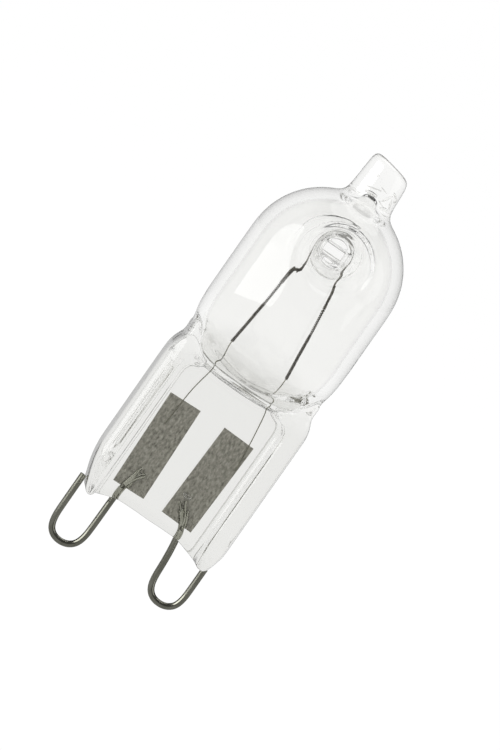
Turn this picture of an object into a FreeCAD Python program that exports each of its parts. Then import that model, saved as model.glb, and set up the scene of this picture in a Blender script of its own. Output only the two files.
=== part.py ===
"""Halogen capsule bulb with a pinched quartz envelope and two looped wire contacts.

Millimetres. +Z runs up the bulb's own axis to the sealed tip, X runs across the two
contacts and Y through the flat of the pinch. The origin is the middle of the web's lower
edge, where the bulb seats in its holder.
"""
import FreeCAD, Part
import math
import os

import Sketcher

V = FreeCAD.Vector
doc = FreeCAD.newDocument("halogen_capsule_bulb")

# Driving sizes
SIZES = [
    # Bulb
    ("bulb_diameter", 12.9),
    ("bulb_wall", 0.9),
    ("dome_height", 23.9),
    ("flank_height", 16.6),
    ("shoulder_height", 19.4),
    ("neck_diameter", 11.9),
    ("neck_height", 14.2),
    # Exhaust tip
    ("tip_base_diameter", 4.0),
    ("tip_top_diameter", 3.6),
    ("tip_rounding", 0.35),
    ("overall_height", 34.05),
    ("tip_fall", 0.6),
    ("channel_diameter", 1.1),
    ("channel_end_diameter", 0.6),
    ("channel_height", 31.4),
    # Pinch
    ("pinch_width", 13.1),
    ("pinch_thickness", 5.5),
    ("pinch_shoulder", 12.2),
    ("rail_width", 1.85),
    ("rail_rounding", 0.7),
    ("recess_corner", 1.2),
    ("web_thickness", 2.1),
    ("web_top", 12.5),
    ("ledge_rise", 0.6),
    ("flat_half_width", 2.9),
    ("rail_drop", 0.75),
    ("corner_taper_left", 0.5),
    ("corner_taper_right", 0.1),
    ("taper_height", 3.2),
    ("corner_cut_width", 1.3),
    ("corner_cut_height", 0.9),
    ("boss_diameter", 0.9),
    ("boss_proud", 0.12),
    ("boss_inset", 1.0),
    ("boss_height", 2.4),
    # Inside of the bulb above the pinch
    ("slot_width", 8.7),
    ("slot_gap", 2.2),
    ("slot_lip_gap", 2.6),
    ("slot_floor", 12.95),
    ("slot_depth", 0.35),
    # Dimpled support
    ("pillar_height", 25.65),
    ("pillar_diameter", 2.9),
    ("pillar_straight", 1.0),
    ("dimple_wall", 0.35),
    ("dimple_floor", 0.9),
    ("dimple_mouth", 7.0),
    # Foils
    ("foil_width", 2.84),
    ("foil_length", 8.25),
    ("foil_thickness", 0.03),
    ("foil_feather", 0.25),
    ("foil_edge", 0.01),
    ("foil_front", 0.2),
    ("foil_bottom", 1.1),
    ("foil_splay", 1.9),
    ("foil_left_offset", 2.53),
    ("foil_right_offset", 2.04),
    # Contact pins
    ("pin_diameter", 0.55),
    ("pin_centres", 9.0),
    ("pin_leg_gap", 3.1),
    ("pin_reach", 5.45),
    ("pin_free_end_left", 0.35),
    ("pin_free_end_right", 0.0),
    ("pin_turn", 1.5),
    ("pin_bend", 0.8),
    ("weld_foot_left", 1.3),
    ("weld_top_left", 3.0),
    ("weld_shift_left", 0.4),
    ("weld_foot_right", 1.15),
    ("weld_top_right", 2.65),
    ("weld_shift_right", 1.5),
    # Leads
    ("lead_diameter", 0.1),
    ("lead_flat", 0.02),
    ("lead_left_end_x", 3.13),
    ("lead_left_knee_x", 2.86),
    ("lead_left_knee_z", 11.2),
    ("lead_left_neck_x", 2.55),
    ("lead_left_neck_z", 12.6),
    ("lead_right_end_x", 3.52),
    ("lead_right_knee_x", 3.07),
    ("lead_right_knee_z", 11.2),
    ("lead_right_kink_x", 2.63),
    ("lead_right_kink_z", 12.8),
    ("lead_right_neck_x", 2.76),
    ("lead_right_neck_z", 13.35),
    ("lead_end_z", 7.05),
    ("lead_bend", 0.3),
    # Filament
    ("coil_diameter", 0.28),
    ("coil_bottom", 15.25),
    ("coil_top", 22.7),
    ("coil_left_bottom_x", 2.47),
    ("coil_right_bottom_x", 2.68),
    ("coil_top_x", 1.9),
    ("tail_diameter", 0.16),
    ("tail_x", 1.6),
    ("tail_rise", 0.6),
    ("tail_bend", 0.2),
    ("tail_turn", 1.55),
]

# The leads and the filament hang in one plane, a little behind the middle of the bulb
THREAD_PLANE = "-(foil_front + lead_flat - lead_diameter / 2)"

sheet = doc.addObject("Spreadsheet::Sheet", "Sizes")
for row, (alias, value) in enumerate(SIZES, start=1):
    sheet.set("A%d" % row, alias)
    sheet.set("B%d" % row, str(value))
    sheet.setAlias("B%d" % row, alias)
doc.recompute()


def size(expression):
    """Turns the plain words of an expression into references to the sheet."""
    words = []
    word = ""
    for letter in expression + " ":
        if letter.isalnum() or letter in "_.":
            word += letter
            continue
        if any(word == alias for alias, _ in SIZES):
            word = "Sizes." + word
        words.append(word + letter)
        word = ""
    return "".join(words).strip()


def number(expression):
    """Value of an expression, to draw a sketch where its sizes will hold it."""
    value = sheet.evalExpression(size(expression))
    return float(getattr(value, "Value", value))


def plane(body, role):
    """One of a body's own origin planes."""
    return next(f for f in body.Origin.OriginFeatures if f.Role == role)


def new_body(name):
    body = doc.addObject("PartDesign::Body", name)
    body.Label = name
    return body


def new_sketch(body, name, role, offset=None):
    """Sketch on an origin plane, moved along the plane's normal by an expression."""
    sketch = body.newObject("Sketcher::SketchObject", name)
    sketch.AttachmentSupport = [(plane(body, role), "")]
    sketch.MapMode = "FlatFace"
    if offset:
        sketch.setExpression("AttachmentOffset.Base.z", size(offset))
    doc.recompute()
    return sketch


def hold(sketch, kind, geometry, point, expression):
    """Fixes one coordinate of a point by an expression."""
    axis = -2 if kind == "DistanceX" else -1
    if expression == "0":
        sketch.addConstraint(Sketcher.Constraint("PointOnObject", geometry, point, axis))
        return
    index = sketch.addConstraint(
        Sketcher.Constraint(kind, -1, 1, geometry, point, number(expression)))
    sketch.setExpression("Constraints[%d]" % index, size(expression))


def arc_between(start, end, centre_up):
    """Arc from start to end whose centre lies at a given height, and its turning sense."""
    (x0, z0), (x1, z1) = start, end
    across = (x1 ** 2 - x0 ** 2 + (z1 - centre_up) ** 2 - (z0 - centre_up) ** 2) / (2 * (x1 - x0))
    radius = math.hypot(x0 - across, z0 - centre_up)
    first = math.atan2(z0 - centre_up, x0 - across)
    last = math.atan2(z1 - centre_up, x1 - across)
    turns_left = (last - first) % (2 * math.pi) < math.pi
    if not turns_left:
        first, last = last, first
    circle = Part.Circle(V(across, centre_up, 0), V(0, 0, 1), radius)
    return Part.ArcOfCircle(circle, first, last), turns_left


def outline(sketch, corners):
    """Closed outline. A corner is (across, up), or (across, up, centre height) where an
    arc leads on from it to the next corner."""
    places = [(number(corner[0]), number(corner[1])) for corner in corners]
    ends = []
    for index, corner in enumerate(corners):
        start = places[index]
        end = places[(index + 1) % len(places)]
        if len(corner) == 3:
            arc, turns_left = arc_between(start, end, number(corner[2]))
            geometry = sketch.addGeometry(arc, False)
            ends.append((geometry, 1, 2) if turns_left else (geometry, 2, 1))
        else:
            line = Part.LineSegment(V(*start, 0), V(*end, 0))
            ends.append((sketch.addGeometry(line, False), 1, 2))
    for index, corner in enumerate(corners):
        geometry, first, _ = ends[index]
        before, _, last = ends[index - 1]
        sketch.addConstraint(Sketcher.Constraint("Coincident", before, last, geometry, first))
        hold(sketch, "DistanceX", geometry, first, corner[0])
        hold(sketch, "DistanceY", geometry, first, corner[1])
        if len(corner) == 3:
            hold(sketch, "DistanceY", geometry, 3, corner[2])


def mirrored(corners):
    """The same outline on the other side of the vertical axis."""
    return [("-(%s)" % corner[0],) + corner[1:] for corner in corners]


def route(sketch, corners):
    """Open path of straight runs. A corner is (across, up), or (across, up, radius) where
    an arc of that radius, tangent to both runs, rounds it."""
    places = [V(number(corner[0]), number(corner[1]), 0) for corner in corners]
    radii = [number(corner[2]) if len(corner) == 3 else 0 for corner in corners]
    starts, finishes = [], []
    for index, place in enumerate(places):
        if not radii[index]:
            starts.append(place)
            finishes.append(place)
            continue
        back = (places[index - 1] - place).normalize()
        ahead = (places[index + 1] - place).normalize()
        reach = radii[index] / math.tan(back.getAngle(ahead) / 2)
        finishes.append(place + back * reach)
        starts.append(place + ahead * reach)
    runs = []
    for index in range(len(places) - 1):
        runs.append(sketch.addGeometry(Part.LineSegment(starts[index], finishes[index + 1]), False))
    for index, corner in enumerate(corners):
        if not radii[index]:
            geometry, point = (runs[index], 1) if index < len(runs) else (runs[-1], 2)
            if 0 < index < len(runs):
                sketch.addConstraint(
                    Sketcher.Constraint("Coincident", runs[index - 1], 2, runs[index], 1))
            hold(sketch, "DistanceX", geometry, point, corner[0])
            hold(sketch, "DistanceY", geometry, point, corner[1])
            continue
        mark = sketch.addGeometry(Part.Point(places[index]), True)
        hold(sketch, "DistanceX", mark, 1, corner[0])
        hold(sketch, "DistanceY", mark, 1, corner[1])
        for run in (runs[index - 1], runs[index]):
            sketch.addConstraint(Sketcher.Constraint("PointOnObject", mark, 1, run))
        inward = (finishes[index] - places[index]) + (starts[index] - places[index])
        half = (finishes[index] - places[index]).getAngle(inward)
        centre = places[index] + inward.normalize() * (radii[index] / math.sin(half))
        first = math.atan2(finishes[index].y - centre.y, finishes[index].x - centre.x)
        last = math.atan2(starts[index].y - centre.y, starts[index].x - centre.x)
        turns_left = (last - first) % (2 * math.pi) < math.pi
        bounds = (first, last) if turns_left else (last, first)
        circle = Part.Circle(centre, V(0, 0, 1), radii[index])
        arc = sketch.addGeometry(Part.ArcOfCircle(circle, *bounds), False)
        near, far = (1, 2) if turns_left else (2, 1)
        sketch.addConstraint(Sketcher.Constraint("Tangent", runs[index - 1], 2, arc, near))
        sketch.addConstraint(Sketcher.Constraint("Tangent", arc, far, runs[index], 1))
        radius = sketch.addConstraint(Sketcher.Constraint("Radius", arc, radii[index]))
        sketch.setExpression("Constraints[%d]" % radius, size(corner[2]))


def disc(sketch, across, up, diameter):
    """Circle held by its centre and its diameter."""
    circle = Part.Circle(V(number(across), number(up), 0), V(0, 0, 1), number(diameter) / 2)
    geometry = sketch.addGeometry(circle, False)
    hold(sketch, "DistanceX", geometry, 3, across)
    hold(sketch, "DistanceY", geometry, 3, up)
    index = sketch.addConstraint(Sketcher.Constraint("Diameter", geometry, number(diameter)))
    sketch.setExpression("Constraints[%d]" % index, size(diameter))


def revolve(body, sketch, axis="V_Axis"):
    feature = body.newObject("PartDesign::Revolution", sketch.Name + "_turned")
    feature.Profile = sketch
    feature.ReferenceAxis = (sketch, [axis])
    feature.Angle = 360
    doc.recompute()
    return feature


def pad(body, sketch, length):
    """Equal thickness to both sides of the sketch's plane."""
    feature = body.newObject("PartDesign::Pad", sketch.Name + "_pad")
    feature.Profile = sketch
    feature.SideType = "Symmetric"
    feature.setExpression("Length", size(length))
    doc.recompute()
    return feature


def trim(body, sketch):
    """Cuts away everything in front of and behind the outline, right through the piece."""
    before = body.Shape.Volume
    feature = body.newObject("PartDesign::Pocket", sketch.Name + "_cut")
    feature.Profile = sketch
    feature.SideType = "Symmetric"
    feature.setExpression("Length", size("2 * pinch_width"))
    doc.recompute()
    if not body.Shape.Volume < before:
        raise ValueError(sketch.Name + " cuts nothing")
    return feature


def wire(body, name, corners, diameter, offset=None):
    """Round wire along a route in the plane of the foils, drawn from its first corner."""
    path = new_sketch(body, name + "_route", "XZ_Plane", offset)
    route(path, corners)
    section = new_sketch(body, name + "_section", "XY_Plane", corners[0][1])
    away = "-(%s)" % offset if offset else "0"
    disc(section, corners[0][0], away, diameter)
    doc.recompute()
    feature = body.newObject("PartDesign::AdditivePipe", name + "_drawn")
    feature.Profile = section
    feature.Spine = (path, [])
    feature.Transition = "Round corner"
    doc.recompute()
    return feature


def combine(kind, name, base, tool):
    """Boolean of two shapes."""
    feature = doc.addObject(kind, name)
    feature.Base = base
    feature.Tool = tool
    feature.Label = name
    return feature


def gather(name, shapes):
    feature = doc.addObject("Part::MultiFuse", name)
    feature.Shapes = shapes
    feature.Label = name
    return feature


def round_off(body, radius, wanted):
    """Fillet on the edges of a body that a test picks out."""
    tip = body.Tip
    names = ["Edge%d" % (index + 1) for index, edge in enumerate(tip.Shape.Edges) if wanted(edge)]
    feature = body.newObject("PartDesign::Fillet", body.Name + "_rounding")
    feature.Base = (tip, names)
    feature.setExpression("Radius", size(radius))
    doc.recompute()
    return feature


def bulb():
    """Bulb with its tip, drawn in and pressed flat above the pinch, and the web below it."""
    body = new_body("bulb")

    profile = new_sketch(body, "bulb_profile", "XZ_Plane")
    outline(profile, [
        ("0", "pinch_shoulder"),
        ("neck_diameter / 2", "pinch_shoulder"),
        ("neck_diameter / 2", "neck_height", "neck_height"),
        ("(neck_diameter + bulb_diameter) / 4", "(neck_height + flank_height) / 2", "flank_height"),
        ("bulb_diameter / 2", "flank_height"),
        ("bulb_diameter / 2", "dome_height", "dome_height"),
        ("tip_base_diameter / 2",
         "dome_height + sqrt(bulb_diameter ^ 2 - tip_base_diameter ^ 2) / 2"),
        ("tip_top_diameter / 2", "overall_height - tip_rounding", "overall_height - tip_rounding"),
        ("tip_top_diameter / 2 - tip_rounding", "overall_height"),
        ("0", "overall_height"),
    ])
    revolve(body, profile)

    # Below the shoulder the bulb is pressed in from the front and from the back
    for side in ("front", "back"):
        pressed = new_sketch(body, "pressed_%s" % side, "YZ_Plane")
        corners = [
            ("pinch_thickness / 2", "web_top + ledge_rise", "shoulder_height"),
            ("bulb_diameter / 2", "shoulder_height"),
            ("bulb_diameter", "shoulder_height"),
            ("bulb_diameter", "0"),
            ("web_thickness / 2", "0"),
            ("web_thickness / 2", "web_top"),
        ]
        outline(pressed, mirrored(corners) if side == "front" else corners)
        trim(body, pressed)

    # The tip was fused shut a little askew
    askew = new_sketch(body, "askew", "XZ_Plane")
    outline(askew, [
        ("0", "overall_height"),
        ("tip_base_diameter / 2", "overall_height - tip_fall"),
        ("tip_base_diameter / 2", "overall_height + tip_fall"),
        ("0", "overall_height + tip_fall"),
    ])
    trim(body, askew)

    # Web between the rails, its lower edge level in the middle and hanging a little at the rails
    web = new_sketch(body, "web", "XZ_Plane")
    outline(web, [
        ("-flat_half_width", "0"),
        ("flat_half_width", "0"),
        ("pinch_width / 2 - rail_width", "-rail_drop"),
        ("pinch_width / 2 - rail_width", "neck_height"),
        ("-(pinch_width / 2 - rail_width)", "neck_height"),
        ("-(pinch_width / 2 - rail_width)", "-rail_drop"),
    ])
    pad(body, web, "web_thickness")

    return body


def rail(side):
    """Thick edge of the pinch with rounded outer corners, flowing up into the neck."""
    body = new_body("rail_%s" % side)
    edge = new_sketch(body, "rail_outline_%s" % side, "XZ_Plane")
    taper = "corner_taper_%s" % side
    corners = [
        ("pinch_width / 2 - rail_width", "-rail_drop"),
        ("pinch_width / 2 - %s - corner_cut_width" % taper, "-rail_drop"),
        ("pinch_width / 2 - %s" % taper, "corner_cut_height - rail_drop"),
        ("pinch_width / 2", "taper_height"),
        ("pinch_width / 2", "pinch_shoulder", "pinch_shoulder"),
        ("(pinch_width + neck_diameter) / 4", "(pinch_shoulder + neck_height) / 2", "neck_height"),
        ("neck_diameter / 2", "neck_height"),
        ("pinch_width / 2 - rail_width - recess_corner", "neck_height"),
        ("pinch_width / 2 - rail_width - recess_corner", "web_top", "web_top - recess_corner"),
        ("pinch_width / 2 - rail_width", "web_top - recess_corner"),
    ]
    outline(edge, mirrored(corners) if side == "left" else corners)
    pad(body, edge, "pinch_thickness")

    middle = number("(pinch_width - rail_width) / 2")
    depth = number("pinch_thickness / 2")

    def on_outer_side(line):
        box = line.BoundBox
        steep = box.ZLength > box.XLength
        return steep and math.isclose(abs(box.Center.y), depth) and abs(box.Center.x) > middle

    round_off(body, "rail_rounding", on_outer_side)
    return body


def boss(side, sign):
    """Small round boss that stands proud of a rail, front and back."""
    body = new_body("boss_%s" % side)
    spot = new_sketch(body, "boss_outline_%s" % side, "XZ_Plane")
    disc(spot, sign + "(pinch_width / 2 - boss_inset)", "boss_height", "boss_diameter")
    pad(body, spot, "pinch_thickness + 2 * boss_proud")
    return body


def cavity():
    """Room inside the bulb, a flat slot at its foot and the sealed channel of the tip."""
    body = new_body("cavity")
    bore = new_sketch(body, "bore_profile", "XZ_Plane")
    outline(bore, [
        ("0", "slot_floor"),
        ("slot_width / 2", "slot_floor"),
        ("slot_width / 2", "slot_floor + slot_depth"),
        ("neck_diameter / 2 - bulb_wall", "neck_height + slot_depth", "neck_height + slot_depth"),
        ("bulb_diameter / 2 - bulb_wall", "flank_height"),
        ("bulb_diameter / 2 - bulb_wall", "dome_height", "dome_height"),
        ("channel_diameter / 2",
         "dome_height + sqrt((bulb_diameter / 2 - bulb_wall) ^ 2 - channel_diameter ^ 2 / 4)"),
        ("channel_end_diameter / 2", "channel_height"),
        ("0", "channel_height + channel_end_diameter / 2"),
    ])
    revolve(body, bore)
    for side in ("front", "back"):
        pressed = new_sketch(body, "slot_%s" % side, "YZ_Plane")
        corners = [
            ("slot_lip_gap / 2", "slot_floor + slot_depth", "shoulder_height"),
            ("bulb_diameter / 2 - bulb_wall", "shoulder_height"),
            ("bulb_diameter", "shoulder_height"),
            ("bulb_diameter", "0"),
            ("slot_gap / 2", "0"),
            ("slot_gap / 2", "slot_floor"),
        ]
        outline(pressed, mirrored(corners) if side == "front" else corners)
        trim(body, pressed)
    return body


def pillar():
    """Glass pressed in from front and back until it meets in the middle of the bulb."""
    body = new_body("pillar")
    flare = new_sketch(body, "pillar_profile", "XY_Plane", "pillar_height")
    mouth = "dimple_mouth / 2 + dimple_wall"
    outline(flare, [
        ("0", "-bulb_diameter / 2"),
        (mouth, "-bulb_diameter / 2"),
        (mouth, "-(bulb_diameter / 2 - bulb_wall)", "0"),
        ("pillar_diameter / 2", "-pillar_straight"),
        ("pillar_diameter / 2", "pillar_straight", "0"),
        (mouth, "bulb_diameter / 2 - bulb_wall"),
        (mouth, "bulb_diameter / 2"),
        ("0", "bulb_diameter / 2"),
    ])
    revolve(body, flare)
    return body


def dimple(side, sign):
    """Open hollow of one dimple, from its mouth in the bulb's wall to its floor."""
    body = new_body("dimple_%s" % side)
    hollow = new_sketch(body, "dimple_%s_profile" % side, "XY_Plane", "pillar_height")
    throat = "pillar_diameter / 2 - dimple_wall"
    outline(hollow, [
        ("0", sign + "(dimple_floor / 2)"),
        (throat, sign + "(dimple_floor / 2)"),
        (throat, sign + "pillar_straight", "0"),
        ("dimple_mouth / 2", sign + "(bulb_diameter / 2)"),
        ("dimple_mouth / 2", sign + "bulb_diameter"),
        ("0", sign + "bulb_diameter"),
    ])
    revolve(body, hollow)
    return body


def seal_foil(side, sign):
    """Foil strip with feathered long edges, standing a little splayed in the web."""
    body = new_body("seal_foil_%s" % side)
    section = new_sketch(body, "foil_section_%s" % side, "XY_Plane")
    outline(section, [
        ("-(foil_width / 2)", "(foil_thickness - foil_edge) / 2"),
        ("-(foil_width / 2 - foil_feather)", "0"),
        ("foil_width / 2 - foil_feather", "0"),
        ("foil_width / 2", "(foil_thickness - foil_edge) / 2"),
        ("foil_width / 2", "(foil_thickness + foil_edge) / 2"),
        ("foil_width / 2 - foil_feather", "foil_thickness"),
        ("-(foil_width / 2 - foil_feather)", "foil_thickness"),
        ("-(foil_width / 2)", "(foil_thickness + foil_edge) / 2"),
    ])
    strip = body.newObject("PartDesign::Pad", "strip_%s" % side)
    strip.Profile = section
    strip.setExpression("Length", size("foil_length"))
    body.setExpression("Placement.Base.x", size("%sfoil_%s_offset" % (sign, side)))
    body.setExpression("Placement.Base.y", size("foil_front"))
    body.setExpression("Placement.Base.z", size("foil_bottom"))
    body.Placement.Rotation = FreeCAD.Rotation(V(0, 1, 0), 1)
    body.setExpression("Placement.Rotation.Angle", size("%sfoil_splay" % sign))
    doc.recompute()
    return body


def flattened(name, drawn):
    """Wire with the side that is welded to the foil pressed flat."""
    anvil = doc.addObject("Part::Box", name + "_anvil")
    for edge in ("Length", "Width", "Height"):
        anvil.setExpression(edge, size("pinch_width"))
    anvil.setExpression("Placement.Base.x", size("-pinch_width / 2"))
    anvil.setExpression("Placement.Base.y", size("foil_front"))
    anvil.setExpression("Placement.Base.z", size("foil_bottom - pin_diameter"))
    return combine("Part::Cut", name, drawn, anvil)


def contact_pin(side, sign):
    """Wire loop: free end, outer leg, bend, inner leg, and the end welded to the foil."""
    body = new_body("pin_wire_%s" % side)
    outer = sign + "(pin_centres / 2 + pin_leg_gap / 2)"
    inner = sign + "(pin_centres / 2 - pin_leg_gap / 2)"
    low = "-(pin_reach - pin_diameter / 2)"
    wire(body, "pin_%s" % side, [
        (outer, "pin_free_end_%s" % side),
        (outer, low, "pin_turn"),
        (inner, low, "pin_turn"),
        (inner, "weld_foot_%s" % side, "pin_bend"),
        (sign + "(pin_centres / 2 - pin_leg_gap / 2 - weld_shift_%s)" % side,
         "weld_top_%s" % side),
    ], "pin_diameter")
    return flattened("contact_pin_%s" % side, body)


def inner_lead(side, sign):
    """Thin lead from the foot of the filament's coil down onto the foil."""
    body = new_body("lead_wire_%s" % side)
    foot = sign + "coil_%s_bottom_x" % side
    corners = [(foot, "coil_bottom"), (foot, "coil_bottom - lead_bend", "lead_bend")]
    if side == "left":
        corners.append(("-lead_left_neck_x", "lead_left_neck_z", "lead_bend"))
    else:
        corners.append(("lead_right_neck_x", "lead_right_neck_z", "lead_bend / 2"))
        corners.append(("lead_right_kink_x", "lead_right_kink_z", "lead_bend / 2"))
    corners.append((sign + "lead_%s_knee_x" % side, "lead_%s_knee_z" % side, "lead_bend"))
    corners.append((sign + "lead_%s_end_x" % side, "lead_end_z"))
    wire(body, "lead_%s" % side, corners, "lead_diameter", THREAD_PLANE)
    return flattened("inner_lead_%s" % side, body)


def filament():
    """Two coiled legs and the plain tail that hangs over the pillar."""
    body = new_body("filament")
    for side, sign in (("left", "-"), ("right", "")):
        wire(body, "coil_%s" % side, [
            (sign + "coil_%s_bottom_x" % side, "coil_bottom"),
            (sign + "coil_top_x", "coil_top"),
        ], "coil_diameter", THREAD_PLANE)
    top = "pillar_height + pillar_diameter / 2 + tail_diameter / 2"
    wire(body, "tail", [
        ("-coil_top_x", "coil_top - coil_diameter"),
        ("-coil_top_x", "coil_top", "tail_bend"),
        ("-tail_x", "coil_top + tail_rise", "tail_bend"),
        ("-tail_x", top, "tail_turn"),
        ("tail_x", top, "tail_turn"),
        ("tail_x", "coil_top + tail_rise", "tail_bend"),
        ("coil_top_x", "coil_top"),
    ], "tail_diameter", THREAD_PLANE)
    return body


sealed = []
for side, sign in (("left", "-"), ("right", "")):
    sealed.append(seal_foil(side, sign))
    sealed.append(contact_pin(side, sign))
    sealed.append(inner_lead(side, sign))
thread = filament()

room = combine("Part::Cut", "room", cavity(), pillar())
hollows = gather("hollows", [room, dimple("front", "-"), dimple("back", "")])
blank = gather("blank", [bulb(), rail("left"), rail("right"), boss("left", "-"), boss("right", "")])
shell = combine("Part::Cut", "shell", blank, hollows)
seals = gather("seals", sealed)
envelope = combine("Part::Cut", "quartz_envelope", shell, seals)
doc.recompute()

pieces = [envelope, thread] + sealed

for item in doc.Objects:
    if "Invalid" in item.State or "Error" in item.State:
        raise ValueError("%s did not build: %s" % (item.Name, item.State))
for piece in pieces:
    if piece.Shape.isNull() or not piece.Shape.isValid():
        raise ValueError(piece.Label + " has no valid shape")

os.makedirs("parts", exist_ok=True)
for piece in pieces:
    piece.Shape.exportStep("parts/%s.step" % piece.Label)
    print(piece.Label, "solids", len(piece.Shape.Solids), "volume", round(piece.Shape.Volume, 4))
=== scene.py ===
import math

import bpy
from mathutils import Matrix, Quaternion, Vector


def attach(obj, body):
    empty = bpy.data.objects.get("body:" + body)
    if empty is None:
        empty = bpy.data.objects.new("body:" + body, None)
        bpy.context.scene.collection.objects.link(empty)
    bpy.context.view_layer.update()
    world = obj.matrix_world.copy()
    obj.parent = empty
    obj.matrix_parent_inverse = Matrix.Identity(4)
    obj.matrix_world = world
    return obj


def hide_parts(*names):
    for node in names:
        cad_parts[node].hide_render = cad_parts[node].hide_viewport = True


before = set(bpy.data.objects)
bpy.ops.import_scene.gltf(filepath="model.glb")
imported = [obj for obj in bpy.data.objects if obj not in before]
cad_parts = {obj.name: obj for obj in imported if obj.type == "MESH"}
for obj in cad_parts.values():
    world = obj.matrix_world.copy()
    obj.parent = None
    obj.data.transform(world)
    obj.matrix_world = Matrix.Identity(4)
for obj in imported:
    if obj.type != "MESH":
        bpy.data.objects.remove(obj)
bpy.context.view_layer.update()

MM = 0.001

# Heights up the bulb's axis and half widths, in millimetres, as the part's own sizes have them
BULB_RADIUS = 6.45
WALL = 0.9
DOME_HEIGHT = 23.9
PILLAR_HEIGHT = 25.65
TIP_TOP = 34.05
PINCH_HALF_DEPTH = 2.75
WEB_HALF_DEPTH = 1.05
WIRE_RADIUS = 0.275
LEAD_RADIUS = 0.042
THREAD_DEPTH = 0.17
FOIL_DEPTH = 0.215
FOIL_WIDTH = 2.84
FOIL_LENGTH = 8.25
FOIL_THICKNESS = 0.02

# How the melted glass flows: not within PILLAR_REACH of the pillar's axis, by PINCH_FLOW at the
# pinch, and fully from NECK_RISE above NECK_HEIGHT
PILLAR_REACH = 1.9
PINCH_FLOW = 0.3
NECK_HEIGHT = 14.4
NECK_RISE = 3.0
GRAIN_OF_MELT = 0.1
TRIANGLES_KEPT = 0.32

# The studio: the floor and the middle of the bulb in millimetres, the floor's width in metres,
# and the picture in pixels
FLOOR_HEIGHT = -26.5
FLOOR_SIZE = 8.0
MIDDLE_HEIGHT = 14.0
PICTURE_HEIGHT = 750


def mm(*numbers):
    """Millimetres as the scene's metres."""
    return tuple(number * MM for number in numbers)


def let_go():
    """Leaves edit mode and selects nothing."""
    if bpy.context.object and bpy.context.object.mode != "OBJECT":
        bpy.ops.object.mode_set(mode="OBJECT")
    bpy.ops.object.select_all(action="DESELECT")


def pick_up(piece):
    """Selects this piece alone and makes it the active one."""
    let_go()
    piece.select_set(True)
    bpy.context.view_layer.objects.active = piece


def bake(piece):
    """Puts the piece's place into its mesh and its object at the origin."""
    pick_up(piece)
    bpy.ops.object.transform_apply(location=True, rotation=True, scale=True)


def finish_modifier(piece, kind, **values):
    """Adds a modifier with these values and applies it."""
    pick_up(piece)
    modifier = piece.modifiers.new(kind.lower(), kind)
    for key, value in values.items():
        setattr(modifier, key, value)
    bpy.ops.object.modifier_apply(modifier=modifier.name)


def merge(name, pieces):
    """One object out of several."""
    pick_up(pieces[0])
    for piece in pieces[1:]:
        piece.select_set(True)
    bpy.ops.object.join()
    pieces[0].name = name
    return pieces[0]


def combine(piece, tool, operation):
    """Cuts the tool away from the piece, fuses it on, or keeps only what lies in both."""
    finish_modifier(piece, "BOOLEAN", operation=operation, solver="EXACT", object=tool)
    bpy.data.objects.remove(tool)


def face_inwards(piece):
    """Makes the closed shell the wall of a void in the glass."""
    pick_up(piece)
    bpy.ops.object.mode_set(mode="EDIT")
    bpy.ops.mesh.select_all(action="SELECT")
    bpy.ops.mesh.flip_normals()
    let_go()
    pick_up(piece)
    bpy.ops.object.shade_smooth()


def turned(name, rings, along="Z", sides=96):
    """A closed solid drawn up ring by ring: half widths across, then the height of each ring."""
    wide, deep, height = rings[0]
    tilt = (0, 0, 0) if along == "Z" else (math.pi / 2, 0, 0)
    middle = mm(0, 0, height) if along == "Z" else mm(0, height, PILLAR_HEIGHT)
    let_go()
    bpy.ops.mesh.primitive_circle_add(
        vertices=sides, radius=MM, fill_type="NGON", location=middle, rotation=tilt)
    piece = bpy.context.object
    piece.name = name
    bake(piece)
    bpy.ops.object.mode_set(mode="EDIT")
    bpy.ops.mesh.select_all(action="SELECT")
    across = (wide, deep, 1) if along == "Z" else (wide, 1, deep)
    bpy.ops.transform.resize(value=across, center_override=middle)
    for next_wide, next_deep, next_height in rings[1:]:
        rise = (next_height - height) * MM
        step = (0, 0, rise) if along == "Z" else (0, rise, 0)
        bpy.ops.mesh.extrude_region_move(TRANSFORM_OT_translate={"value": step})
        middle = tuple(a + b for a, b in zip(middle, step))
        growth = (next_wide / wide, next_deep / deep)
        across = (*growth, 1) if along == "Z" else (growth[0], 1, growth[1])
        bpy.ops.transform.resize(value=across, center_override=middle)
        wide, deep, height = next_wide, next_deep, next_height
    bpy.ops.mesh.select_all(action="SELECT")
    bpy.ops.mesh.normals_make_consistent(inside=False)
    let_go()
    return piece


def drawn(name, points):
    """A chain of edges drawn from point to point."""
    let_go()
    bpy.ops.mesh.primitive_plane_add(size=MM)
    piece = bpy.context.object
    piece.name = name
    bpy.ops.object.mode_set(mode="EDIT")
    bpy.ops.mesh.select_mode(type="VERT")
    bpy.ops.mesh.select_all(action="SELECT")
    bpy.ops.mesh.merge(type="CENTER")
    bpy.ops.transform.translate(value=mm(*points[0]))
    for before, after in zip(points, points[1:]):
        step = mm(*(b - a for a, b in zip(before, after)))
        bpy.ops.mesh.extrude_vertices_move(TRANSFORM_OT_translate={"value": step})
    return piece


def slab(name, outline, half_depth, rounding=0.0):
    """A plate from an outline seen from the front."""
    piece = drawn(name, [(x, -half_depth, z) for x, z in outline])
    bpy.ops.mesh.select_all(action="SELECT")
    bpy.ops.mesh.edge_face_add()
    bpy.ops.mesh.extrude_region_move(TRANSFORM_OT_translate={"value": mm(0, 2 * half_depth, 0)})
    bpy.ops.mesh.select_all(action="SELECT")
    bpy.ops.mesh.normals_make_consistent(inside=False)
    let_go()
    if rounding:
        finish_modifier(piece, "BEVEL", width=rounding * MM, segments=3, limit_method="ANGLE",
                        angle_limit=math.radians(50))
    return piece


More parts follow.
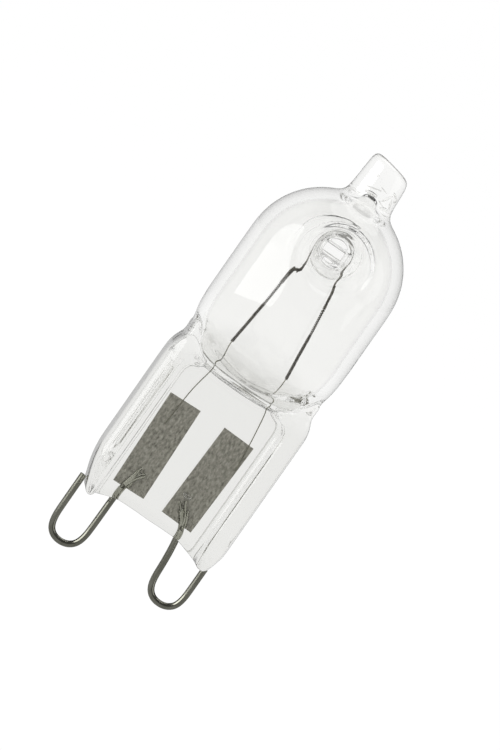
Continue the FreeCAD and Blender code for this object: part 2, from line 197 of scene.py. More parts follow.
def softness(place):
    """How far the glass has flowed: little at the pinch, none where the dimples meet."""
    above_neck = min(1.0, max(0.0, (place.z / MM - NECK_HEIGHT) / NECK_RISE))
    off_pillar = math.hypot(place.x, place.z - PILLAR_HEIGHT * MM) / MM - PILLAR_REACH
    flow = PINCH_FLOW + (1 - PINCH_FLOW) * above_neck
    return flow * min(1.0, max(0.0, off_pillar))


def melt(piece, rounds, soft_rounds):
    """Fuses overlapping solids into one skin and lets the surface flow smooth."""
    finish_modifier(piece, "REMESH", mode="VOXEL", voxel_size=GRAIN_OF_MELT * MM)
    finish_modifier(piece, "SMOOTH", factor=0.5, iterations=rounds)
    soft = piece.vertex_groups.new(name="soft")
    for vertex in piece.data.vertices:
        soft.add([vertex.index], softness(vertex.co), "REPLACE")
    finish_modifier(piece, "SMOOTH", factor=0.5, iterations=soft_rounds, vertex_group="soft")
    piece.vertex_groups.clear()
    finish_modifier(piece, "DECIMATE", ratio=TRIANGLES_KEPT)
    pick_up(piece)
    bpy.ops.object.shade_smooth()


def arc_rings(radius, height, start, end, steps):
    """Rings of a dome between two angles above its widest place."""
    rings = []
    for index in range(steps + 1):
        angle = math.radians(start + (end - start) * index / steps)
        rings.append((radius * math.cos(angle), radius * math.cos(angle),
                      height + radius * math.sin(angle)))
    return rings


# Outer form of the quartz
def bulb_blank():
    """Bulb with a rounded foot that stands on the web, its dome and its tip."""
    rings = [(5.2, 0.9, 12.1), (5.55, 1.1, 12.45), (5.75, 1.5, 12.75), (5.85, 2.1, 13.03),
             (5.9, 2.7, 13.33), (5.93, 3.25, 13.68), (5.94, 3.8, 14.1), (5.96, 4.35, 14.6),
             (6.07, 4.87, 15.15), (6.24, 5.35, 15.8), (6.38, 5.72, 16.45), (6.43, 6.0, 17.2),
             (6.45, 6.24, 18.0), (6.45, 6.4, 18.9), (6.45, 6.45, 19.8), (6.45, 6.45, 22.4)]
    rings += arc_rings(BULB_RADIUS, DOME_HEIGHT, 0, 70, 18)
    rings += [(2.08, 2.08, 30.1), (2.03, 2.03, 30.4), (2.0, 2.0, 31.0), (1.95, 1.95, 32.0),
              (1.88, 1.88, 33.0), (1.82, 1.82, 34.6)]
    blank = turned("bulb_blank", rings)
    pick_up(blank)
    bpy.ops.object.mode_set(mode="EDIT")
    bpy.ops.mesh.select_all(action="SELECT")
    bpy.ops.mesh.bisect(plane_co=mm(0, 0, TIP_TOP - 0.33), plane_no=(0.2, 0.03, 1),
                        use_fill=True, clear_outer=True)
    let_go()
    return blank


def flat_nose(name, middle, size, rounding):
    """Block with rounded edges, to press or fill a window by."""
    let_go()
    bpy.ops.mesh.primitive_cube_add(size=MM, location=mm(*middle), scale=size)
    piece = bpy.context.object
    piece.name = name
    bake(piece)
    finish_modifier(piece, "BEVEL", width=rounding * MM, segments=4)
    return piece


def dimple_cutter(side):
    """The hollow pressed in by one jaw: a flat nose, opening like a trumpet to the wall."""
    rings = [(1.26, 1.2, 1.45), (1.33, 1.28, 1.7), (1.45, 1.42, 2.1), (1.63, 1.61, 2.6),
             (1.9, 1.88, 3.25), (2.2, 2.15, 3.9), (2.52, 2.4, 4.5), (2.8, 2.6, 5.0),
             (3.12, 2.84, 5.4), (3.42, 3.1, 5.75), (3.75, 3.42, 6.02), (4.1, 3.85, 6.23),
             (4.5, 4.35, 6.38), (5.0, 4.95, 6.5), (5.6, 5.6, 6.8)]
    cutter = turned("dimple_cutter", [(w, d, side * y) for w, d, y in rings], along="Y", sides=72)
    nose = flat_nose("nose", (0, side * 1.05, PILLAR_HEIGHT - 0.05), (2.15, 1.25, 1.15), 0.14)
    combine(cutter, nose, "UNION")
    return cutter


def rail(side):
    """Thick edge of the pinch, rounded off below the neck."""
    face = [(4.72, -0.55), (5.0, -0.84), (5.35, -0.84), (5.65, -0.4), (5.92, 0.45), (6.12, 1.0),
            (6.36, 1.9), (6.55, 3.2), (6.55, 9.0), (6.55, 11.6), (6.52, 12.3), (6.42, 12.8),
            (6.26, 13.2), (6.05, 13.6), (5.7, 13.85), (5.0, 13.6), (4.3, 13.15), (3.6, 12.85),
            (3.4, 12.55), (3.8, 12.45), (4.25, 12.3), (4.6, 11.9), (4.72, 11.4), (4.72, 6.0)]
    if side > 0:
        face = [(x + 0.42 * max(0.0, min(1.0, (3.2 - z) / 2.2)) * (x > 4.8), z) for x, z in face]
    edge = slab("rail", [(side * x, z) for x, z in face], PINCH_HALF_DEPTH, 0.4)
    block = flat_nose("block", (0, 0, 6.0), (13.1, 2 * PINCH_HALF_DEPTH, 40.0), 1.3)
    combine(edge, block, "INTERSECT")
    return edge


def gusset(side):
    """Low ridge that leads from the pinch up the side of the neck."""
    face = [(4.0, 12.6), (6.3, 12.6), (6.24, 13.1), (6.0, 13.6), (5.92, 14.1), (5.98, 14.6),
            (6.05, 15.0), (5.85, 15.2), (5.3, 14.6), (4.8, 13.9), (4.4, 13.4)]
    return slab("gusset", [(side * x, z) for x, z in face], 2.3, 0.3)


def web():
    """Thin plate of the pinch, between the rails, with its wavy lower edge."""
    edge = [(-5.2, -0.7), (-4.4, -0.5), (-3.6, -0.22), (-2.9, 0.0), (-1.4, 0.03), (0.0, 0.0),
            (1.6, 0.03), (2.9, 0.0), (3.6, -0.22), (4.4, -0.46), (5.2, -0.66), (5.2, 6.0),
            (5.2, 12.9), (-5.2, 12.9), (-5.2, 6.0)]
    return slab("web", edge, WEB_HALF_DEPTH)


def boss(side):
    """Small round stud low on each rail."""
    let_go()
    bpy.ops.mesh.primitive_cylinder_add(
        vertices=40, radius=0.42 * MM, depth=2 * (PINCH_HALF_DEPTH - 0.07) * MM,
        location=mm(side * 5.7, 0, 2.4), rotation=(math.pi / 2, 0, 0))
    piece = bpy.context.object
    piece.name = "boss"
    bake(piece)
    finish_modifier(piece, "BEVEL", width=0.12 * MM, segments=2, limit_method="ANGLE")
    return piece


def outer_skin():
    """Everything that is glass seen from outside, fused into one skin."""
    blank = bulb_blank()
    for side in (-1, 1):
        combine(blank, dimple_cutter(side), "DIFFERENCE")
    skin = merge("outer_skin", [
        blank, web(), rail(-1), rail(1), gusset(-1), gusset(1), boss(-1), boss(1)])
    melt(skin, rounds=7, soft_rounds=240)
    return skin


# Inside of the bulb
def pillar():
    """Glass of the two dimples, fused in the middle, at even thickness out to the walls."""
    half = [(1.42, 1.34, 0.0), (1.42, 1.34, 0.8), (1.52, 1.45, 1.2), (1.68, 1.65, 1.75),
            (1.93, 1.89, 2.4), (2.22, 2.16, 3.1), (2.55, 2.42, 3.7), (2.9, 2.7, 4.2),
            (3.22, 2.92, 4.6), (3.52, 3.2, 4.92), (3.85, 3.52, 5.17), (4.2, 3.95, 5.36),
            (4.6, 4.45, 5.5), (5.1, 5.0, 5.6), (5.7, 5.7, 5.9)]
    rings = [(w, d, -y) for w, d, y in reversed(half[1:])] + half
    post = turned("pillar", rings, along="Y", sides=72)
    core = flat_nose("core", (0, 0, PILLAR_HEIGHT - 0.05), (3.0, 2.5, 2.75), 0.55)
    combine(post, core, "UNION")
    return post


def cavity_skin():
    """Wall of the room inside, with the slot for its floor and its end in the tip."""
    rings = [(3.9, 0.9, 13.8), (4.3, 1.3, 13.95), (4.55, 1.9, 14.2), (4.7, 2.6, 14.55),
             (4.95, 3.35, 15.0), (5.2, 4.05, 15.6), (5.42, 4.6, 16.35), (5.53, 5.0, 17.15),
             (5.55, 5.28, 18.05), (5.55, 5.45, 19.0), (5.55, 5.55, 20.0), (5.55, 5.55, 22.5)]
    rings += arc_rings(BULB_RADIUS - WALL, DOME_HEIGHT, 0, 72, 16)
    rings += [(1.3, 1.3, 29.4), (1.0, 1.0, 29.7), (0.84, 0.84, 30.05), (0.76, 0.76, 30.4),
              (0.66, 0.64, 30.7), (0.4, 0.38, 30.9), (0.1, 0.1, 31.0)]
    cavity = turned("cavity", rings)
    slot = flat_nose("slot", (-0.1, 0, 14.25), (9.0, 2.5, 1.3), 0.3)
    combine(cavity, slot, "UNION")
    combine(cavity, pillar(), "DIFFERENCE")
    melt(cavity, rounds=6, soft_rounds=190)
    pick_up(cavity)
    bpy.ops.object.mode_set(mode="EDIT")
    bpy.ops.mesh.select_mode(type="VERT")
    bpy.ops.mesh.select_all(action="DESELECT")
    let_go()
    for vertex in cavity.data.vertices:
        vertex.select = vertex.co.z < 14.0 * MM and abs(vertex.co.x) < 0.4 * MM
    pick_up(cavity)
    bpy.ops.object.mode_set(mode="EDIT")
    bpy.ops.transform.translate(value=mm(0, 0, -0.38), use_proportional_edit=True,
                                proportional_edit_falloff="SMOOTH", proportional_size=3.6 * MM)
    face_inwards(cavity)
    return cavity


def bubble(middle, size, tilt):
    """Small void left in the fused glass."""
    let_go()
    bpy.ops.mesh.primitive_uv_sphere_add(segments=24, ring_count=12, radius=0.5 * MM,
                                         location=mm(*middle), rotation=(0, math.radians(tilt), 0))
    piece = bpy.context.object
    piece.scale = size
    bake(piece)
    face_inwards(piece)
    return piece


def ring_bubble():
    """Ring of gas pressed flat in front of the right foil."""
    let_go()
    bpy.ops.mesh.primitive_torus_add(major_segments=36, minor_segments=12,
                                     major_radius=0.18 * MM, minor_radius=0.09 * MM,
                                     location=mm(1.55, -0.1, 3.3), rotation=(math.pi / 2, 0, 0))
    piece = bpy.context.object
    piece.scale = (1.3, 0.8, 1)
    bake(piece)
    face_inwards(piece)
    return piece


def bubbles():
    """Voids in the sealed tip, under the corners of the slot and at the right foil."""
    # Middle, size across each axis, and tilt in degrees
    places = [
        ((-0.3, -1.1, 31.0), (1.0, 0.4, 0.36), -6),
        ((-0.3, -0.9, 31.45), (1.1, 0.3, 0.13), -16),
        ((0.8, -0.9, 31.35), (0.24, 0.3, 1.0), 28),
        ((1.2, -0.7, 31.1), (0.2, 0.25, 0.9), -20),
        ((1.15, -0.9, 31.9), (0.55, 0.3, 0.2), 35),
        ((0.3, -0.8, 31.75), (0.6, 0.3, 0.12), 20),
        ((1.35, -0.5, 31.55), (0.3, 0.3, 0.5), 10),
        ((0.6, -0.9, 30.75), (0.5, 0.3, 0.14), 24),
        ((-0.45, -0.3, 32.4), (0.2, 0.2, 0.2), 0),
        ((1.0, -0.7, 30.6), (0.5, 0.4, 0.14), -12),
        ((-3.75, -0.2, 13.12), (1.1, 0.5, 0.2), 4),
        ((-3.1, 0.2, 12.95), (0.6, 0.4, 0.12), -3),
        ((3.75, -0.1, 13.08), (0.7, 0.5, 0.24), -6),
        ((4.25, 0.2, 13.1), (0.3, 0.3, 0.16), 0)]
    return [bubble(*place) for place in places] + [ring_bubble()]


# Wires
def wire(name, points, radius, smoothing=3):
    """A round wire along a smoothed line of points."""
    piece = drawn(name, points)
    let_go()
    finish_modifier(piece, "SUBSURF", levels=smoothing, render_levels=smoothing)
    pick_up(piece)
    bpy.ops.object.convert(target="CURVE")
    line = bpy.context.object
    line.data.bevel_depth = radius * MM
    line.data.bevel_resolution = 4
    line.data.use_fill_caps = True
    bpy.ops.object.convert(target="MESH")
    piece = bpy.context.object
    piece.name = name
    close_up(piece)
    return piece


def close_up(piece):
    """Joins the seams of a finished shell, faces it outwards and shades it smooth."""
    pick_up(piece)
    bpy.ops.object.mode_set(mode="EDIT")
    bpy.ops.mesh.select_all(action="SELECT")
    bpy.ops.mesh.remove_doubles(threshold=0.001 * MM)
    bpy.ops.mesh.fill_holes(sides=40)
    bpy.ops.mesh.select_all(action="SELECT")
    bpy.ops.mesh.normals_make_consistent(inside=False)
    let_go()
    pick_up(piece)
    bpy.ops.object.shade_smooth_by_angle(angle=math.radians(50))


def contact_wire(name, run, foot, splay):
    """Bright wire with a loop to plug in by, flattened from foot up and torn into a splay of
    prongs where it is welded; each prong is a line and its radius."""
    piece = wire(name, [(x, 0, z) for x, z in run], WIRE_RADIUS)
    pick_up(piece)
    bpy.ops.object.mode_set(mode="EDIT")
    bpy.ops.mesh.select_mode(type="VERT")
    bpy.ops.mesh.select_all(action="DESELECT")
    let_go()
    for point in piece.data.vertices:
        point.select = point.co.z > foot * MM and abs(point.co.x) < 4 * MM
    pick_up(piece)
    bpy.ops.object.mode_set(mode="EDIT")
    bpy.ops.transform.resize(value=(0.9, 0.5, 1), center_override=mm(run[-2][0], 0.12, foot),
                             use_proportional_edit=True, proportional_size=0.5 * MM)
    let_go()
    prongs = [wire("prong", [(x, -0.05, z) for x, z in line], radius, 2) for line, radius in splay]
    return merge(name, [piece] + prongs)


def spring(name, start, turns, pitch, coil_radius, wire_radius):
    """Turns of fine wire round the Z axis."""
    let_go()
    bpy.ops.mesh.primitive_circle_add(
        vertices=6, radius=wire_radius * MM, location=mm(coil_radius, 0, start),
        rotation=(math.pi / 2, 0, 0))
    piece = bpy.context.object
    piece.name = name
    bake(piece)
    finish_modifier(piece, "SCREW", axis="Z", angle=2 * math.pi, screw_offset=pitch * MM,
                    iterations=turns, steps=14, render_steps=14)
    return piece


def coiled_leg(name, path):
    """Close turns below, open turns above them, and a thicker knot of turns at the top."""
    close = spring("close_turns", start=0.0, turns=38, pitch=0.102, coil_radius=0.095,
                   wire_radius=0.046)
    open_turns = spring("open_turns", start=3.88, turns=14, pitch=0.155, coil_radius=0.092,
                        wire_radius=0.044)
    knot = spring("knot", start=6.05, turns=15, pitch=0.108, coil_radius=0.105,
                  wire_radius=0.05)
    leg = merge(name, [close, open_turns, knot])
    close_up(leg)
    line = drawn(name + "_path", path)
    let_go()
    finish_modifier(line, "SUBSURF", levels=3, render_levels=3)
    pick_up(line)
    bpy.ops.object.convert(target="CURVE")
    line = bpy.context.object
    finish_modifier(leg, "CURVE", object=line, deform_axis="POS_Z")
    bpy.data.objects.remove(line)
    return leg


def filament():
    """Two coiled legs, and the plain tail that joins them over the pillar."""
    left = [(-2.44, 15.25), (-2.32, 16.6), (-2.2, 18.0), (-2.07, 19.4), (-1.98, 20.8),
            (-1.94, 21.6), (-1.92, 22.3), (-1.94, 22.75), (-1.97, 23.0)]
    right = [(2.67, 15.25), (2.53, 16.6), (2.4, 18.0), (2.26, 19.4), (2.12, 20.8),
             (2.07, 21.6), (2.03, 22.4), (1.95, 22.75), (1.84, 23.0)]
    tail = [(-1.93, 22.6), (-1.97, 23.0), (-2.0, 23.4), (-1.97, 24.0), (-1.85, 24.8),
            (-1.72, 25.6), (-1.6, 26.3), (-1.3, 26.85), (-0.8, 27.12), (0, 27.2), (0.8, 27.1),
            (1.3, 26.8), (1.6, 26.3), (1.66, 25.6), (1.64, 24.8), (1.66, 24.0), (1.74, 23.4),
            (1.84, 23.0), (1.97, 22.6)]
    parts = [coiled_leg("leg", [(x, THREAD_DEPTH, z) for x, z in run]) for run in (left, right)]
    parts.append(wire("tail", [(x, THREAD_DEPTH, z) for x, z in tail], radius=0.095, smoothing=2))
    return merge("coiled_filament", parts)


def lead_wire(name, run):
    """Fine wire from a coil's foot to its foil."""
    return wire(name, [(x, THREAD_DEPTH, z) for x, z in run], LEAD_RADIUS, 2)


def crinkled_foil(name, middle, lean):
    """Foil strip with small crinkles from the pressing."""
    let_go()
    bpy.ops.mesh.primitive_grid_add(x_subdivisions=40, y_subdivisions=110, size=MM,
                                    rotation=(math.pi / 2, 0, 0))
    piece = bpy.context.object
    piece.name = name
    piece.scale = (FOIL_WIDTH, FOIL_LENGTH, 1)
    bake(piece)
    crumple = bpy.data.textures.new(name + "_crumple", "CLOUDS")
    crumple.noise_scale = 0.6 * MM
    crumple.noise_depth = 2
    finish_modifier(piece, "DISPLACE", texture=crumple, texture_coords="LOCAL",
                    strength=0.05 * MM, mid_level=0.5)
    finish_modifier(piece, "SOLIDIFY", thickness=FOIL_THICKNESS * MM, offset=0)
    piece.rotation_euler = (0, math.radians(lean), 0)
    piece.location = mm(*middle)
    bake(piece)
    bpy.ops.object.shade_smooth_by_angle(angle=math.radians(40))
    return piece


# Materials
def new_material(name):
    """A material with its nodes and links."""
    material = bpy.data.materials.new(name)
    material.use_nodes = True
    return material, material.node_tree.nodes, material.node_tree.links


def feed(links, socket, term):
    """Sets a socket to a number or colour, or joins another node's output to it."""
    if isinstance(term, (int, float, tuple)):
        socket.default_value = term
    else:
        links.new(term, socket)


def reckon(nodes, links, operation, *terms):
    """The result of one Math node."""
    node = nodes.new("ShaderNodeMath")
    node.operation = operation
    for socket, term in zip(node.inputs, terms):
        feed(links, socket, term)
    return node.outputs[0]


def blend(nodes, links, share, first, second):
    """The result of mixing two colours."""
    node = nodes.new("ShaderNodeMix")
    node.data_type = "RGBA"
    feed(links, node.inputs["Factor"], share)
    feed(links, node.inputs["A"], first)
    feed(links, node.inputs["B"], second)
    return node.outputs["Result"]


def grain_group():
    """Uneven tone of drawn, rolled and burnt metal, shared by all the metals here."""
    group = bpy.data.node_groups.new("metal_grain", "ShaderNodeTree")
    nodes, links = group.nodes, group.links
    group.interface.new_socket("Grain", in_out="INPUT", socket_type="NodeSocketVector")
    group.interface.new_socket("Dark", in_out="INPUT", socket_type="NodeSocketColor")
    group.interface.new_socket("Light", in_out="INPUT", socket_type="NodeSocketColor")
    group.interface.new_socket("Color", in_out="OUTPUT", socket_type="NodeSocketColor")
    group.interface.new_socket("Height", in_out="OUTPUT", socket_type="NodeSocketFloat")
    given = nodes.new("NodeGroupInput")
    made = nodes.new("NodeGroupOutput")
    place = nodes.new("ShaderNodeTexCoord")
    stretch = nodes.new("ShaderNodeVectorMath")
    stretch.operation = "MULTIPLY"
    links.new(place.outputs["Object"], stretch.inputs[0])
    links.new(given.outputs["Grain"], stretch.inputs[1])
    noise = nodes.new("ShaderNodeTexNoise")
    noise.inputs["Scale"].default_value = 1.0
    noise.inputs["Detail"].default_value = 4.0
    noise.inputs["Roughness"].default_value = 0.65
    links.new(stretch.outputs["Vector"], noise.inputs["Vector"])
    spread = nodes.new("ShaderNodeMapRange")
    spread.inputs["From Min"].default_value = 0.3
    spread.inputs["From Max"].default_value = 0.7
    links.new(noise.outputs["Fac"], spread.inputs["Value"])
    color = blend(
        nodes, links, spread.outputs["Result"], given.outputs["Dark"], given.outputs["Light"])
    links.new(color, made.inputs["Color"])
    links.new(spread.outputs["Result"], made.inputs["Height"])
    return group


def span(nodes, links, value, low, high):
    """Rises from 0 to 1 between two distances in millimetres."""
    ramp = nodes.new("ShaderNodeMapRange")
    ramp.inputs["From Min"].default_value = low * MM
    ramp.inputs["From Max"].default_value = high * MM
    links.new(value, ramp.inputs["Value"])
    return ramp.outputs["Result"]


def quartz_material():
    """Clear quartz, a little greyer in the thick pinch, with painted shade darkening its steep
    edges.
    """
    material, nodes, links = new_material("quartz_glass")
    shader = nodes["Principled BSDF"]
    shader.inputs["Roughness"].default_value = 0.0
    shader.inputs["IOR"].default_value = 1.458
    shader.inputs["Metallic"].default_value = 0.0
    shader.inputs["Transmission Weight"].default_value = 1.0
    coordinates = nodes.new("ShaderNodeTexCoord")
    split = nodes.new("ShaderNodeSeparateXYZ")
    links.new(coordinates.outputs["Object"], split.inputs["Vector"])
    height = span(nodes, links, split.outputs["Z"], 12.0, 16.0)
    tone = blend(nodes, links, height, (0.82, 0.82, 0.80, 1), (0.95, 0.95, 0.94, 1))
    # Painted shade: the colour darkens where the glass is seen at a slant, to grey everywhere and
    # to near black where the jaws pressed it, round the pillar and at the slot, standing in for
    # the dark lines that bent light draws there
    flat = nodes.new("ShaderNodeVectorMath")
    flat.operation = "MULTIPLY"
    flat.inputs[1].default_value = (1, 0, 1)
    links.new(coordinates.outputs["Object"], flat.inputs[0])
    reach = nodes.new("ShaderNodeVectorMath")
    reach.operation = "DISTANCE"
    reach.inputs[1].default_value = mm(0, 0, PILLAR_HEIGHT)
    links.new(flat.outputs["Vector"], reach.inputs[0])
    at_pillar = span(nodes, links, reach.outputs["Value"], 2.3, 1.6)
    over_web = span(nodes, links, split.outputs["Z"], 12.7, 13.0)
    under_room = span(nodes, links, split.outputs["Z"], 14.3, 13.9)
    sideways = reckon(nodes, links, "ABSOLUTE", split.outputs["X"])
    inside = span(nodes, links, sideways, 5.1, 4.6)
    at_slot = reckon(nodes, links, "MULTIPLY", over_web, under_room)
    in_slot = reckon(nodes, links, "MULTIPLY", at_slot, inside)
    pressed = reckon(nodes, links, "MAXIMUM", at_pillar, in_slot)
    slant = nodes.new("ShaderNodeLayerWeight")
    slant.inputs["Blend"].default_value = 0.5
    grazing = nodes.new("ShaderNodeMapRange")
    grazing.interpolation_type = "SMOOTHSTEP"
    onset = reckon(nodes, links, "MULTIPLY_ADD", pressed, 0.1, 0.55)
    links.new(onset, grazing.inputs["From Min"])
    links.new(slant.outputs["Facing"], grazing.inputs["Value"])
    # Painted shade for slanted edges: grey in general, near black round the pillar and at the slot
    painted_edge_shade = blend(nodes, links, pressed, (0.66, 0.66, 0.66, 1), (0.06, 0.055, 0.045, 1))
    edge = blend(nodes, links, grazing.outputs["Result"], tone, painted_edge_shade)
    links.new(edge, shader.inputs["Base Color"])
    return material


def metal_material(name, dark, light, grain, roughness, dents):
    """A metal whose tone, roughness and small dents follow the shared grain."""
    material, nodes, links = new_material(name)
    shader = nodes["Principled BSDF"]
    shader.inputs["Metallic"].default_value = 1.0
    uneven = nodes.new("ShaderNodeGroup")
    uneven.node_tree = metal_grain
    uneven.inputs["Grain"].default_value = grain
    uneven.inputs["Dark"].default_value = (*dark, 1)
    uneven.inputs["Light"].default_value = (*light, 1)
    links.new(uneven.outputs["Color"], shader.inputs["Base Color"])
    rough = nodes.new("ShaderNodeMapRange")
    rough.inputs["To Min"].default_value = roughness * 0.8
    rough.inputs["To Max"].default_value = roughness * 1.2
    links.new(uneven.outputs["Height"], rough.inputs["Value"])
    links.new(rough.outputs["Result"], shader.inputs["Roughness"])
    dent = nodes.new("ShaderNodeBump")
    dent.inputs["Strength"].default_value = dents
    dent.inputs["Distance"].default_value = 0.03 * MM
    links.new(uneven.outputs["Height"], dent.inputs["Height"])
    links.new(dent.outputs["Normal"], shader.inputs["Normal"])
    return material


def dress(piece, material):
    """Gives the piece this material alone."""
    piece.data.materials.clear()
    piece.data.materials.append(material)


def floor_material():
    """Pale floor that takes the object's shadow and fades into the white behind it."""
    material, nodes, links = new_material("pale_floor")
    shader = nodes["Principled BSDF"]
    shader.inputs["Base Color"].default_value = (0.85, 0.85, 0.85, 1)
    shader.inputs["Roughness"].default_value = 0.9
    shader.inputs["Specular IOR Level"].default_value = 0.0
    glow = nodes.new("ShaderNodeEmission")
    path = nodes.new("ShaderNodeLightPath")
    # Full strength to the eye and through the glass, and less in the shine of the metals
    seen = reckon(nodes, links, "MAXIMUM",
                  path.outputs["Is Camera Ray"], path.outputs["Is Transmission Ray"])
    level = reckon(nodes, links, "MULTIPLY_ADD", seen, 0.72, 0.34)
    links.new(level, glow.inputs["Strength"])
    share = reckon(nodes, links, "MAXIMUM", seen, path.outputs["Is Glossy Ray"])
    hold = reckon(nodes, links, "MULTIPLY", share, 0.9)
    mix = nodes.new("ShaderNodeMixShader")
    links.new(hold, mix.inputs["Fac"])
    links.new(shader.outputs["BSDF"], mix.inputs[1])
    links.new(glow.outputs["Emission"], mix.inputs[2])
    links.new(mix.outputs["Shader"], nodes["Material Output"].inputs["Surface"])
    return material


def studio_walls():
    """White to the eye and through the glass, grey as a light."""
    world = bpy.data.worlds.new("studio")
    bpy.context.scene.world = world
    world.use_nodes = True
    nodes, links = world.node_tree.nodes, world.node_tree.links
    path = nodes.new("ShaderNodeLightPath")
    # White all round the horizon, with a darker ceiling that only bent rays reach
    sky = nodes.new("ShaderNodeTexCoord")
    height = nodes.new("ShaderNodeSeparateXYZ")
    links.new(sky.outputs["Generated"], height.inputs["Vector"])
    ceiling = nodes.new("ShaderNodeMapRange")
    ceiling.interpolation_type = "SMOOTHSTEP"
    ceiling.inputs["From Min"].default_value = 0.55
    ceiling.inputs["From Max"].default_value = 0.95
    links.new(height.outputs["Z"], ceiling.inputs["Value"])
    bent = reckon(nodes, links, "MULTIPLY",
                  ceiling.outputs["Result"], path.outputs["Is Transmission Ray"])
    white = nodes["Background"]
    white.inputs["Strength"].default_value = 1.0
    backdrop = blend(nodes, links, bent, (1, 1, 1, 1), (0.03, 0.03, 0.03, 1))
    links.new(backdrop, white.inputs["Color"])
    # A grey room lights the object, and a darker one shines in its metals
    room = nodes.new("ShaderNodeBackground")
    room.inputs["Strength"].default_value = 1.0
    grey = blend(nodes, links, path.outputs["Is Glossy Ray"],
                 (0.55, 0.55, 0.55, 1), (0.12, 0.12, 0.12, 1))
    links.new(grey, room.inputs["Color"])
    seen = reckon(nodes, links, "MAXIMUM",
                  path.outputs["Is Camera Ray"], path.outputs["Is Transmission Ray"])
    mix = nodes.new("ShaderNodeMixShader")
    links.new(seen, mix.inputs["Fac"])
    links.new(room.outputs["Background"], mix.inputs[1])
    links.new(white.outputs["Background"], mix.inputs[2])
    links.new(mix.outputs["Shader"], nodes["World Output"].inputs["Surface"])


def floor_and_lamps():
    """A pale floor well below the loops, and three soft round lamps aimed at the bulb."""
    let_go()
    bpy.ops.mesh.primitive_plane_add(size=FLOOR_SIZE, location=mm(0, 0, FLOOR_HEIGHT))
    floor = bpy.context.object
    floor.name = "floor"
    bake(floor)
    dress(floor, floor_material())

    # Name, place and size in metres, and power in watts
    for name, place, size, power in (
            ("key_left", (-0.25, -0.12, 0.02), 0.34, 0.8),
            ("fill_right", (0.5, -0.2, 0.22), 0.5, 0.5),
            ("top", (0.0, 0.12, 0.55), 0.5, 0.8)):
        let_go()
        bpy.ops.object.light_add(type="AREA", location=place)
        lamp = bpy.context.object
        lamp.name = name
        lamp.data.shape = "DISK"
        lamp.data.size = size
        lamp.data.energy = power
        lamp.visible_camera = False
        lamp.visible_transmission = False
        aim = Vector(mm(0, 0, MIDDLE_HEIGHT)) - Vector(place)
        lamp.rotation_mode = "QUATERNION"
        lamp.rotation_quaternion = aim.to_track_quat("-Z", "Y")


def camera():
    """The photograph's view: nearly square on, with the bulb leaning over to the right."""
    azimuth, elevation, lean = math.radians(-7), math.radians(4), math.radians(35)
    lens, pixels_per_mm = 250.0, 12.78
    sensor = 36.0
    distance = lens / sensor * (PICTURE_HEIGHT / pixels_per_mm) * MM
    back = Vector((math.sin(azimuth) * math.cos(elevation),
                   -math.cos(azimuth) * math.cos(elevation), math.sin(elevation)))
    let_go()
    bpy.ops.object.camera_add()
    eye = bpy.context.object
    eye.name = "camera"
    eye.data.lens = lens
    eye.data.sensor_width = sensor
    eye.data.clip_start = 0.01
    eye.data.clip_end = 20
    eye.rotation_mode = "QUATERNION"
    eye.location = Vector(mm(0.18, 0, 13.9)) + back * distance
    eye.rotation_quaternion = (-back).to_track_quat("-Z", "Y") @ Quaternion((0, 0, 1), lean)
    bpy.context.scene.camera = eye


# The scene. Light bends many times in the thick glass, so it needs more bounces than usual
scene = bpy.context.scene
scene.view_settings.view_transform = "Standard"
scene.cycles.max_bounces = 64
scene.cycles.glossy_bounces = 48
scene.cycles.transmission_bounces = 48
camera()
studio_walls()
floor_and_lamps()

quartz = merge("quartz_bulb", [outer_skin(), cavity_skin()] + bubbles())
dress(quartz, quartz_material())
quartz.visible_shadow = False
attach(quartz, "root")
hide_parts("quartz_envelope")

metal_grain = grain_group()
tungsten = metal_material(
    "tungsten", dark=(0.05, 0.045, 0.035), light=(0.14, 0.13, 0.1), grain=(9000, 9000, 4000),
    roughness=0.42, dents=0.2)
bright_wire = metal_material(
    "contact_wire", dark=(0.24, 0.24, 0.195), light=(0.38, 0.38, 0.325),
    grain=(2500, 2500, 600), roughness=0.16, dents=0.03)
lead_metal = metal_material(
    "lead_wire", dark=(0.12, 0.12, 0.09), light=(0.26, 0.25, 0.2), grain=(6000, 6000, 1500),
    roughness=0.35, dents=0.1)
foil_metal = metal_material(
    "seal_foil", dark=(0.11, 0.105, 0.085), light=(0.48, 0.47, 0.41),
    grain=(5200, 5200, 2600), roughness=0.5, dents=0.6)

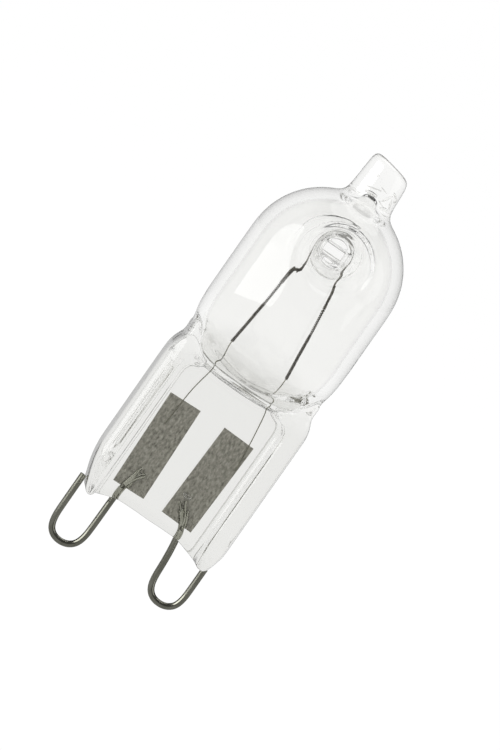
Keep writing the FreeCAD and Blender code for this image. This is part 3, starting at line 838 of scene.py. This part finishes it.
# Runs of wire from the front: distance across and height
left_pin = contact_wire("loop_left", [
    (-6.08, 0.1), (-6.08, -1.5), (-6.08, -3.0), (-6.06, -3.9), (-5.85, -4.75), (-5.3, -5.22),
    (-4.62, -5.34), (-3.95, -5.2), (-3.4, -4.75), (-3.17, -3.9), (-3.14, -3.0), (-3.12, -1.0),
    (-3.1, 0.4), (-3.02, 1.15), (-2.85, 1.8), (-2.7, 2.3), (-2.62, 2.7)], foot=1.3, splay=[
    ([(-2.75, 2.2), (-2.68, 2.6), (-2.72, 2.95), (-2.62, 3.1)], 0.1),
    ([(-2.8, 1.5), (-2.55, 2.1), (-2.25, 2.5), (-2.0, 2.72)], 0.11),
    ([(-2.6, 2.3), (-2.35, 2.75), (-2.1, 2.85)], 0.07),
    ([(-2.7, 1.2), (-2.6, 1.5), (-2.62, 1.75)], 0.09)])
right_pin = contact_wire("loop_right", [
    (6.06, -0.7), (6.06, -1.5), (6.06, -3.0), (6.04, -3.65), (5.85, -4.45), (5.3, -4.9),
    (4.62, -5.02), (3.95, -4.9), (3.42, -4.45), (3.17, -3.65), (3.12, -2.6), (3.0, -1.0),
    (2.82, 0.0), (2.7, 0.9), (2.45, 1.35), (2.05, 1.85), (1.75, 2.2)], foot=1.15, splay=[
    ([(1.9, 2.0), (1.6, 2.3), (1.4, 2.55), (1.22, 2.62)], 0.1),
    ([(2.6, 1.1), (2.5, 1.6), (2.2, 2.1), (1.85, 2.6), (1.7, 2.9)], 0.11),
    ([(2.8, 0.9), (2.75, 1.4), (2.55, 1.8), (2.3, 2.35)], 0.08)])
left_lead = lead_wire("lead_left", [
    (-2.44, 15.35), (-2.46, 14.4), (-2.49, 13.5), (-2.53, 12.85), (-2.62, 12.15), (-2.79, 11.3),
    (-2.93, 10.5), (-3.02, 9.4), (-3.06, 8.2), (-3.14, 7.0)])
right_lead = lead_wire("lead_right", [
    (2.66, 15.35), (2.7, 14.9), (2.78, 14.2), (2.79, 13.3), (2.66, 12.75), (2.84, 12.3),
    (3.0, 11.4), (3.16, 10.3), (3.29, 9.4), (3.42, 8.2), (3.54, 7.05)])
left_foil = crinkled_foil("foil_left", (-2.67, FOIL_DEPTH, 5.22), -1.9)
right_foil = crinkled_foil("foil_right", (2.18, FOIL_DEPTH, 5.22), 1.9)

for piece, node, slot, material in (
        (filament(), "filament", "tungsten", tungsten),
        (left_pin, "contact_pin_left", "contact_wire", bright_wire),
        (right_pin, "contact_pin_right", "contact_wire", bright_wire),
        (left_lead, "inner_lead_left", "lead_wire", lead_metal),
        (right_lead, "inner_lead_right", "lead_wire", lead_metal),
        (left_foil, "seal_foil_left", "seal_foil", foil_metal),
        (right_foil, "seal_foil_right", "seal_foil", foil_metal)):
    dress(piece, material)
    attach(piece, "root")
    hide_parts(node)
